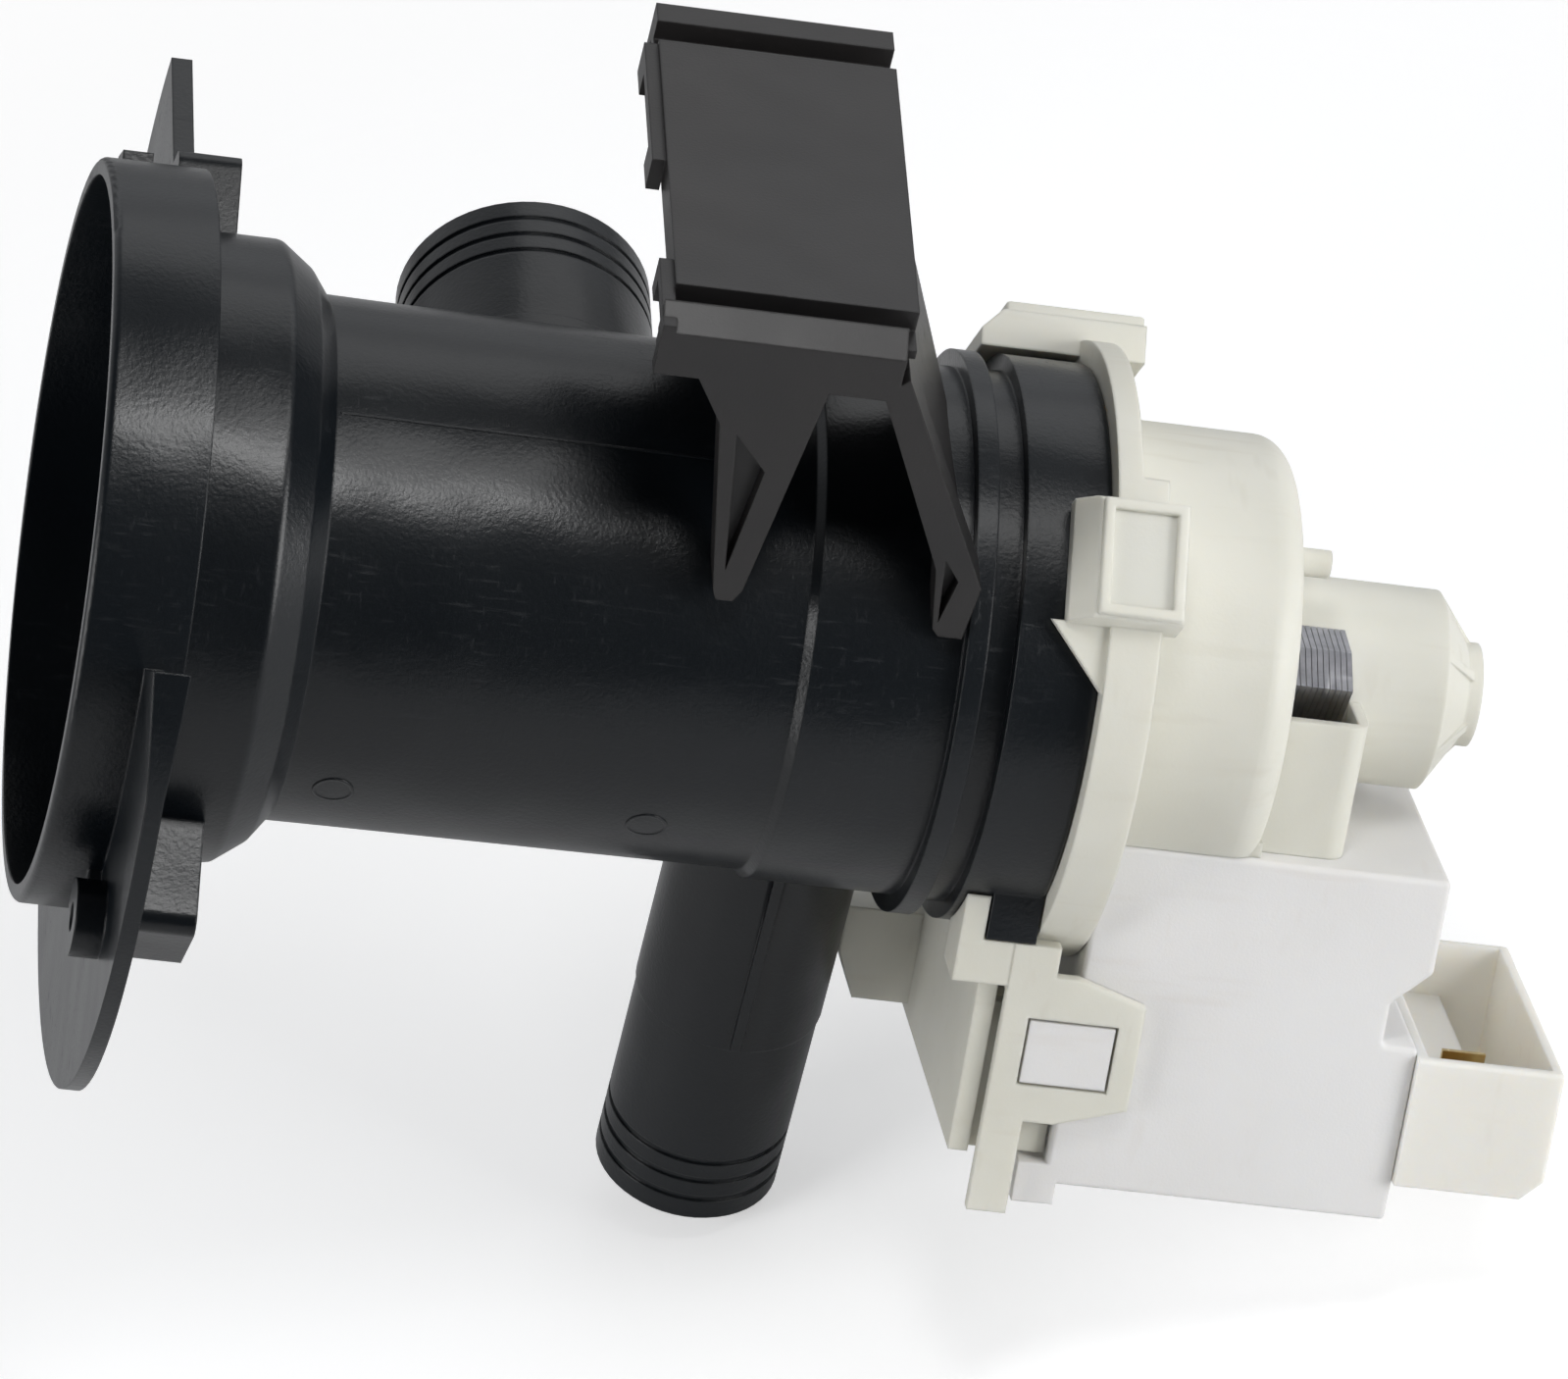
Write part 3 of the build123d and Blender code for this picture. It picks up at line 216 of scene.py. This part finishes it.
def objectNoise(group, scaleFrom, stretch, detail, rough, turn=(0, 0, 0)):
    # noise on Object coordinates, turned (degrees) and stretched where asked
    nodes, links = group.nodes, group.links
    place = nodes.new("ShaderNodeTexCoord")
    mapping = nodes.new("ShaderNodeMapping")
    mapping.inputs["Scale"].default_value = stretch
    mapping.inputs["Rotation"].default_value = [math.radians(angle) for angle in turn]
    noise = nodes.new("ShaderNodeTexNoise")
    noise.inputs["Detail"].default_value = detail
    noise.inputs["Roughness"].default_value = rough
    links.new(place.outputs["Object"], mapping.inputs["Vector"])
    links.new(mapping.outputs["Vector"], noise.inputs["Vector"])
    links.new(scaleFrom, noise.inputs["Scale"])
    return noise.outputs["Fac"]


def mapRange(group, value, low, high):
    node = group.nodes.new("ShaderNodeMapRange")
    node.inputs["From Min"].default_value = low
    node.inputs["From Max"].default_value = high
    group.links.new(value, node.inputs["Value"])
    return node.outputs["Result"]


def mathNode(group, operation, first, second):
    node = group.nodes.new("ShaderNodeMath")
    node.operation = operation
    group.links.new(first, node.inputs[0])
    group.links.new(second, node.inputs[1])
    return node.outputs[0]


noiseLooks = {
    "drift": {"stretch": (1, 1, 1), "detail": 3, "rough": 0.55},
    "grain": {"stretch": (1, 1, 1), "detail": 2, "rough": 0.6},
    "wave": {"stretch": (1, 1, 1), "detail": 1, "rough": 0.4},
    "patch": {"stretch": (1, 1, 1), "detail": 3, "rough": 0.5},
    "along": {"stretch": (0.12, 1, 1), "detail": 2, "rough": 0.6, "turn": (20, 35, -15)},
    "across": {"stretch": (1, 0.2, 0.3), "detail": 2, "rough": 0.6, "turn": (-30, 50, 40)},
}
noiseRanges = {"drift": (0.35, 0.65), "patch": (0.42, 0.64), "along": (0.6, 0.74), "across": (0.62, 0.76)}
edgeSamples = 4


def buildToneDrift():
    # slow change between two shades of the same plastic
    group, start, end = newGroup(
        "toneDrift",
        [
            ("Base", "NodeSocketColor", (0.5, 0.5, 0.5, 1)),
            ("Drift", "NodeSocketColor", (0.4, 0.4, 0.4, 1)),
            ("Scale", "NodeSocketFloat", 40.0),
        ],
        [("Colour", "NodeSocketColor")],
    )
    noise = objectNoise(group, start.outputs["Scale"], **noiseLooks["drift"])
    share = mapRange(group, noise, *noiseRanges["drift"])
    mix = group.nodes.new("ShaderNodeMix")
    mix.data_type = "RGBA"
    group.links.new(share, mix.inputs["Factor"])
    group.links.new(start.outputs["Base"], mix.inputs[6])
    group.links.new(start.outputs["Drift"], mix.inputs[7])
    group.links.new(mix.outputs[2], end.inputs["Colour"])
    return group


def buildMouldGrain():
    # spark-eroded mould texture over a slow sink of the wall, with the plastic's edges rounded off
    group, start, end = newGroup(
        "mouldGrain",
        [
            ("Scale", "NodeSocketFloat", 1500.0),
            ("Depth", "NodeSocketFloat", 0.00002),
            ("Edge", "NodeSocketFloat", 0.0004),
            ("Wave Scale", "NodeSocketFloat", 50.0),
            ("Wave Depth", "NodeSocketFloat", 0.0001),
        ],
        [("Normal", "NodeSocketVector")],
    )
    noise = objectNoise(group, start.outputs["Scale"], **noiseLooks["grain"])
    slow = objectNoise(group, start.outputs["Wave Scale"], **noiseLooks["wave"])
    wave = group.nodes.new("ShaderNodeBump")
    wave.inputs["Strength"].default_value = 1
    edge = group.nodes.new("ShaderNodeBevel")
    edge.samples = edgeSamples
    bump = group.nodes.new("ShaderNodeBump")
    bump.inputs["Strength"].default_value = 1
    group.links.new(start.outputs["Edge"], edge.inputs["Radius"])
    group.links.new(start.outputs["Depth"], bump.inputs["Distance"])
    group.links.new(noise, bump.inputs["Height"])
    group.links.new(start.outputs["Wave Depth"], wave.inputs["Distance"])
    group.links.new(slow, wave.inputs["Height"])
    group.links.new(edge.outputs["Normal"], wave.inputs["Normal"])
    group.links.new(wave.outputs["Normal"], bump.inputs["Normal"])
    group.links.new(bump.outputs["Normal"], end.inputs["Normal"])
    return group


def buildScuffs():
    # fine handling marks: patches where short scratches dull the gloss
    group, start, end = newGroup(
        "scuffs",
        [
            ("Gloss", "NodeSocketFloat", 0.35),
            ("Amount", "NodeSocketFloat", 0.2),
            ("Patch", "NodeSocketFloat", 30.0),
            ("Scratch", "NodeSocketFloat", 260.0),
        ],
        [("Roughness", "NodeSocketFloat"), ("Mask", "NodeSocketFloat")],
    )
    shares = {}
    for name, socket in (("patch", "Patch"), ("along", "Scratch"), ("across", "Scratch")):
        noise = objectNoise(group, start.outputs[socket], **noiseLooks[name])
        shares[name] = mapRange(group, noise, *noiseRanges[name])
    scratch = mathNode(group, "MAXIMUM", shares["along"], shares["across"])
    mask = mathNode(group, "MULTIPLY", shares["patch"], scratch)
    extra = mathNode(group, "MULTIPLY", mask, start.outputs["Amount"])
    total = mathNode(group, "ADD", extra, start.outputs["Gloss"])
    group.links.new(total, end.inputs["Roughness"])
    group.links.new(mask, end.inputs["Mask"])
    return group


toneDrift = buildToneDrift()
mouldGrain = buildMouldGrain()
scuffs = buildScuffs()


def placeGroup(material, group, **values):
    node = material.node_tree.nodes.new("ShaderNodeGroup")
    node.node_tree = group
    for label, value in values.items():
        node.inputs[label].default_value = value
    return node


# finishes
plastics = {
    "blackMoulding": {
        "base": (0.0026, 0.0042, 0.0062, 1), "drift": (0.005, 0.0068, 0.0088, 1), "toneScale": 22.0,
        "worn": (0.0085, 0.0105, 0.013, 1), "gloss": 0.28, "amount": 0.16, "patch": 24.0, "scratch": 1500.0,
        "grain": 1400.0, "depth": 0.00004, "edge": 0.00045, "specular": 0.4, "wave": (55, 0.0007),
    },
    "blackBracket": {
        "base": (0.0105, 0.0098, 0.0102, 1), "drift": (0.0155, 0.0138, 0.0135, 1), "toneScale": 30.0,
        "worn": (0.022, 0.02, 0.02, 1), "wave": (60, 0.0006),
        "gloss": 0.4, "amount": 0.12, "patch": 30.0, "scratch": 1300.0,
        "grain": 2600.0, "depth": 0.000022, "edge": 0.0004, "specular": 0.5,
    },
    "creamHead": {
        "base": (0.735, 0.725, 0.655, 1), "drift": (0.68, 0.67, 0.595, 1), "toneScale": 35.0,
        "worn": (0.66, 0.64, 0.56, 1), "gloss": 0.45, "amount": 0.12, "patch": 30.0, "scratch": 300.0,
        "grain": 1800.0, "depth": 0.000016, "edge": 0.0006, "specular": 0.45, "deep": 0.3,
    },
    "whiteCasing": {
        "base": (0.79, 0.785, 0.78, 1), "drift": (0.76, 0.75, 0.74, 1), "toneScale": 30.0,
        "worn": (0.74, 0.72, 0.70, 1), "gloss": 0.5, "amount": 0.1, "patch": 30.0, "scratch": 300.0,
        "grain": 2600.0, "depth": 0.00003, "edge": 0.0005, "specular": 0.4, "deep": 0.25,
    },
    "warmConnector": {
        "base": (0.83, 0.815, 0.77, 1), "drift": (0.79, 0.775, 0.73, 1), "toneScale": 30.0,
        "worn": (0.76, 0.735, 0.68, 1), "gloss": 0.42, "amount": 0.1, "patch": 30.0, "scratch": 300.0,
        "grain": 1800.0, "depth": 0.000014, "edge": 0.0005, "specular": 0.45, "deep": 0.9,
    },
    "darkInner": {
        "base": (0.02, 0.02, 0.022, 1), "drift": (0.03, 0.03, 0.031, 1), "toneScale": 60.0,
        "worn": (0.05, 0.05, 0.051, 1), "gloss": 0.45, "amount": 0.1, "patch": 60.0, "scratch": 400.0,
        "grain": 1800.0, "depth": 0.000014, "edge": 0.0003, "specular": 0.5,
    },
    "coilFormer": {
        "base": (0.62, 0.56, 0.42, 1), "drift": (0.56, 0.50, 0.37, 1), "toneScale": 60.0,
        "worn": (0.50, 0.44, 0.32, 1), "gloss": 0.4, "amount": 0.1, "patch": 60.0, "scratch": 400.0,
        "grain": 1500.0, "depth": 0.000014, "edge": 0.0003, "specular": 0.5,
    },
    "sealRubber": {
        "base": (0.012, 0.012, 0.012, 1), "drift": (0.018, 0.018, 0.018, 1), "toneScale": 80.0,
        "worn": (0.03, 0.03, 0.03, 1), "gloss": 0.62, "amount": 0.1, "patch": 60.0, "scratch": 400.0,
        "grain": 2500.0, "depth": 0.00002, "edge": 0.0002, "specular": 0.35,
    },
    "magnetFerrite": {
        "base": (0.035, 0.034, 0.036, 1), "drift": (0.05, 0.049, 0.05, 1), "toneScale": 120.0,
        "worn": (0.08, 0.079, 0.08, 1), "gloss": 0.5, "amount": 0.2, "patch": 80.0, "scratch": 400.0,
        "grain": 2500.0, "depth": 0.00003, "edge": 0.0002, "specular": 0.5,
    },
    "bushGraphite": {
        "base": (0.03, 0.03, 0.032, 1), "drift": (0.045, 0.045, 0.047, 1), "toneScale": 160.0,
        "worn": (0.07, 0.07, 0.072, 1), "gloss": 0.35, "amount": 0.1, "patch": 80.0, "scratch": 400.0,
        "grain": 2500.0, "depth": 0.00001, "edge": 0.0002, "specular": 0.5,
    },
}

metals = {
    "coreSteel": {
        "base": (0.50, 0.50, 0.53, 1), "drift": (0.36, 0.36, 0.39, 1), "toneScale": 300.0,
        "worn": (0.62, 0.62, 0.64, 1), "gloss": 0.32, "amount": 0.3, "patch": 150.0, "scratch": 900.0,
        "grain": 2500.0, "depth": 0.00001, "edge": 0.0001,
    },
    "shaftSteel": {
        "base": (0.62, 0.62, 0.63, 1), "drift": (0.55, 0.55, 0.56, 1), "toneScale": 200.0,
        "worn": (0.72, 0.72, 0.73, 1), "gloss": 0.18, "amount": 0.2, "patch": 100.0, "scratch": 900.0,
        "grain": 2500.0, "depth": 0.000004, "edge": 0.0001,
    },
    "coilCopper": {
        "base": (0.62, 0.28, 0.13, 1), "drift": (0.50, 0.20, 0.09, 1), "toneScale": 300.0,
        "worn": (0.70, 0.36, 0.18, 1), "gloss": 0.3, "amount": 0.2, "patch": 100.0, "scratch": 900.0,
        "grain": 900.0, "depth": 0.00006, "edge": 0.0002,
    },
    "bladeBrass": {
        "base": (0.66, 0.50, 0.24, 1), "drift": (0.58, 0.43, 0.20, 1), "toneScale": 300.0,
        "worn": (0.74, 0.58, 0.30, 1), "gloss": 0.25, "amount": 0.2, "patch": 100.0, "scratch": 900.0,
        "grain": 2500.0, "depth": 0.000006, "edge": 0.0001,
    },
}

deepPlastic = {"radius": (1, 0.9, 0.75), "scale": 0.0025}
plainWave = (50, 0.0001)


def buildFinish(name, plan, metallic):
    material = bpy.data.materials.new(name)
    material.use_nodes = True
    links = material.node_tree.links
    shader = material.node_tree.nodes["Principled BSDF"]
    tone = placeGroup(material, toneDrift, Base=plan["base"], Drift=plan["drift"], Scale=plan["toneScale"])
    wear = placeGroup(
        material, scuffs,
        Gloss=plan["gloss"], Amount=plan["amount"], Patch=plan["patch"], Scratch=plan["scratch"],
    )
    grain = placeGroup(material, mouldGrain, Scale=plan["grain"], Depth=plan["depth"], Edge=plan["edge"])
    waveScale, waveDepth = plan.get("wave", plainWave)
    grain.inputs["Wave Scale"].default_value = waveScale
    grain.inputs["Wave Depth"].default_value = waveDepth
    worn = material.node_tree.nodes.new("ShaderNodeMix")
    worn.data_type = "RGBA"
    worn.inputs[7].default_value = plan["worn"]
    links.new(wear.outputs["Mask"], worn.inputs["Factor"])
    links.new(tone.outputs["Colour"], worn.inputs[6])
    links.new(worn.outputs[2], shader.inputs["Base Color"])
    links.new(wear.outputs["Roughness"], shader.inputs["Roughness"])
    links.new(grain.outputs["Normal"], shader.inputs["Normal"])
    shader.inputs["Metallic"].default_value = metallic
    shader.inputs["Specular IOR Level"].default_value = plan.get("specular", 0.5)
    if plan.get("deep"):
        shader.inputs["Subsurface Weight"].default_value = plan["deep"]
        shader.inputs["Subsurface Radius"].default_value = deepPlastic["radius"]
        shader.inputs["Subsurface Scale"].default_value = deepPlastic["scale"]
    return material


finishes = {name: buildFinish(name, plan, 0) for name, plan in plastics.items()}
finishes.update({name: buildFinish(name, plan, 1) for name, plan in metals.items()})

nodeFinish = {
    "filter_housing": "blackMoulding",
    "support_bracket": "blackBracket",
    "pump_head": "creamHead",
    "head_seal": "sealRubber",
    "volute_eye": "darkInner",
    "volute_plate": "darkInner",
    "bearing_holder": "sealRubber",
    "front_bush": "bushGraphite",
    "rear_bush": "bushGraphite",
    "stator_core": "coreSteel",
    "core_rivets": "shaftSteel",
    "bobbin_near": "coilFormer",
    "bobbin_far": "coilFormer",
    "winding_near": "coilCopper",
    "winding_far": "coilCopper",
    "thermal_fuse": "shaftSteel",
    "coil_casing": "whiteCasing",
    "casing_base": "whiteCasing",
    "terminal_housing": "warmConnector",
    "terminals": "bladeBrass",
    "rotor_shaft": "shaftSteel",
    "rotor_magnet": "magnetFerrite",
    "rotor_sleeve": "shaftSteel",
    "rotor_core": "darkInner",
    "thrust_washer": "bushGraphite",
    "drive_dog": "darkInner",
    "impeller": "darkInner",
    "hub_cover": "darkInner",
}


def dressNodes():
    for name, finish in nodeFinish.items():
        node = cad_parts[name]
        if not node.material_slots:
            node.data.materials.append(None)
        for slot in node.material_slots:
            slot.material = finishes[finish]


dressNodes()
print("stage: finishes")


# hood borders and the fine marks that the moulds left on the parts
facingShare = 0.9  # least share of a direction that counts as facing that way
nearShare = 0.01
roundSegments = 2
smoothAngle = 40


def pick(piece, kind, test):
    # leaves the piece in edit mode with only the faces or edges selected that pass the test
    bpy.ops.object.mode_set(mode="EDIT")
    bpy.ops.mesh.select_mode(type=kind)
    bpy.ops.mesh.select_all(action="DESELECT")
    bpy.ops.object.mode_set(mode="OBJECT")
    corners = piece.data.vertices
    if kind == "FACE":
        for face in piece.data.polygons:
            face.select = test(face.center, face.normal)
    else:
        for edge in piece.data.edges:
            first, last = (corners[index].co for index in edge.vertices)
            edge.select = test((first + last) / 2, (last - first).normalized())
    bpy.ops.object.mode_set(mode="EDIT")


def startPiece(name, addPrimitive, **settings):
    bpy.ops.object.select_all(action="DESELECT")
    addPrimitive(**settings)
    piece = bpy.context.object
    piece.name = name
    piece.data.name = name
    return piece


def startBox(name, length, width, height):
    box = startPiece(name, bpy.ops.mesh.primitive_cube_add, size=1)
    box.scale = Vector((length, width, height)) * mm
    bpy.ops.object.transform_apply(location=False, rotation=False, scale=True)
    return box


def sinkTop(piece, plan):
    # leaves a border round the top and a floor below it
    pick(piece, "FACE", lambda centre, normal: normal.z > facingShare)
    bpy.ops.mesh.inset(thickness=plan["band"] * mm, depth=0)
    bpy.ops.mesh.extrude_region_move(TRANSFORM_OT_translate={"value": (0, 0, -plan["floor"] * mm)})


def roundTop(piece, plan, height):
    top = height / 2 * mm
    near = top * nearShare
    pick(piece, "EDGE", lambda centre, along: abs(centre.z - top) < near and abs(along.z) < 1 - facingShare)
    bpy.ops.mesh.bevel(offset=plan["round"] * mm, segments=roundSegments, affect="EDGES")


def seatPiece(piece, station, radius, angle):
    # turns the piece so that its top looks away from the main axis, and puts it on the moulding
    bpy.ops.object.mode_set(mode="OBJECT")
    around = math.radians(angle)
    place = Vector((station, radius * math.cos(around), radius * math.sin(around))) * mm
    piece.matrix_world = Matrix.Translation(place) @ Matrix.Rotation(around - math.pi / 2, 4, "X")


def finishPiece(piece, body, finish):
    bpy.ops.object.mode_set(mode="OBJECT")
    bpy.ops.object.select_all(action="DESELECT")
    piece.select_set(True)
    bpy.context.view_layer.objects.active = piece
    bpy.ops.object.transform_apply(location=True, rotation=True, scale=True)
    bpy.ops.object.shade_smooth_by_angle(angle=math.radians(smoothAngle))
    piece.data.materials.clear()
    piece.data.materials.append(finishes[finish])
    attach(piece, body)


partingRidge = {
    "start": 35.0, "end": 87.0, "angle": 107, "radius": 36.78, "drop": 0.47,
    "width": 0.42, "proud": 0.13, "sunk": 0.5, "fade": 1.4, "round": 0.1,
}


def buildPartingRidge():
    plan = partingRidge
    length = plan["end"] - plan["start"]
    height = plan["proud"] + plan["sunk"]
    ridge = startBox("parting_ridge", length, plan["width"], height)
    for side in (-1, 1):  # both ends run out into the tube
        pick(ridge, "FACE", lambda centre, normal: normal.x * side > facingShare)
        bpy.ops.mesh.extrude_region_move(
            TRANSFORM_OT_translate={"value": (side * plan["fade"] * mm, 0, -plan["proud"] * mm)}
        )
    inner = length / 4 * mm  # keeps the sloping ends out
    pick(ridge, "EDGE", lambda centre, along: abs(along.x) > facingShare and centre.z > 0 and abs(centre.x) < inner)
    bpy.ops.mesh.bevel(offset=plan["round"] * mm, segments=roundSegments, affect="EDGES")
    middle = (plan["start"] + plan["end"]) / 2
    centre = plan["radius"] - plan["drop"] / 2 + plan["proud"] - height / 2
    seatPiece(ridge, middle, centre, plan["angle"])
    ridge.matrix_world = ridge.matrix_world @ Matrix.Rotation(math.atan2(plan["drop"], length), 4, "Y")
    finishPiece(ridge, "pump", "blackMoulding")


mouldRings = {
    "near": {"station": 40.0, "angle": 198.5, "tube": 36.74},
    "far": {"station": 84.0, "angle": 199.5, "tube": 36.34},
    "radius": 2.9, "band": 0.42, "proud": 0.14, "sunk": 0.5, "floor": 0.09, "round": 0.06, "sides": 64,
    "innerShare": 0.4,
}


def buildMouldRing(which):
    plan, place = mouldRings, mouldRings[which]
    height = plan["proud"] + plan["sunk"]
    ring = startPiece(
        "mould_ring_" + which, bpy.ops.mesh.primitive_cylinder_add,
        vertices=plan["sides"], radius=plan["radius"] * mm, depth=height * mm,
    )
    sinkTop(ring, plan)
    bpy.ops.mesh.inset(thickness=plan["radius"] * mm * plan["innerShare"], depth=0)
    roundTop(ring, plan, height)
    bpy.ops.object.mode_set(mode="OBJECT")
    for corner in ring.data.vertices:  # the disc follows the tube's round
        corner.co.z -= corner.co.y ** 2 / (2 * place["tube"] * mm)
    seatPiece(ring, place["station"], place["tube"] + plan["proud"] - height / 2, place["angle"])
    finishPiece(ring, "pump", "blackMoulding")


shoulderMark = {
    "station": 29.4, "angle": 178, "radius": 40.3, "length": 2.2, "width": 1.3,
    "proud": 0.16, "sunk": 0.5, "band": 0.3, "floor": 0.12, "round": 0.07,
}


def buildShoulderMark():
    plan = shoulderMark
    height = plan["proud"] + plan["sunk"]
    mark = startBox("shoulder_mark", plan["width"], plan["length"], height)
    sinkTop(mark, plan)
    roundTop(mark, plan, height)
    seatPiece(mark, plan["station"], plan["radius"] + plan["proud"] - height / 2, plan["angle"])
    finishPiece(mark, "pump", "blackMoulding")


# raised borders on the bayonet hoods, with a shallow tray inside
hoodTrays = {
    "near": {"angle": 124, "start": 138.2, "end": 150.1},
    "upper": {"angle": 34, "start": 130.2, "end": 150.1},
    "lower": {"angle": 304, "start": 130.2, "end": 142.6},
    "top": 45.9, "width": 16.6, "proud": 1.3, "sunk": 0.5, "band": 1.5, "floor": 1.1, "slope": 0.7, "round": 0.35,
    "dip": 0.078, "segments": 3,
}


def buildHoodTray(which):
    plan, place = hoodTrays, hoodTrays[which]
    height = plan["proud"] + plan["sunk"]
    length = place["end"] - place["start"]
    tray = startBox("hood_tray_" + which, length, plan["width"], height)
    sinkTop(tray, plan)
    bpy.ops.mesh.inset(thickness=plan["slope"] * mm, depth=-plan["dip"] * mm)
    top = height / 2 * mm
    rim = top * (1 - nearShare)
    waist = top * (1 - facingShare)  # the four upright corners have their middles within this
    pick(tray, "EDGE", lambda centre, along: centre.z > rim or abs(along.z) > facingShare and abs(centre.z) < waist)
    bpy.ops.mesh.bevel(offset=plan["round"] * mm, segments=plan["segments"], affect="EDGES")
    middle = (place["start"] + place["end"]) / 2
    seatPiece(tray, middle, plan["top"] + plan["proud"] - height / 2, place["angle"])
    finishPiece(tray, "pump", "creamHead")


for which in ("near", "upper", "lower"):
    buildHoodTray(which)
print("stage: hood trays")

buildPartingRidge()
buildMouldRing("near")
buildMouldRing("far")
buildShoulderMark()
print("stage: mould marks")
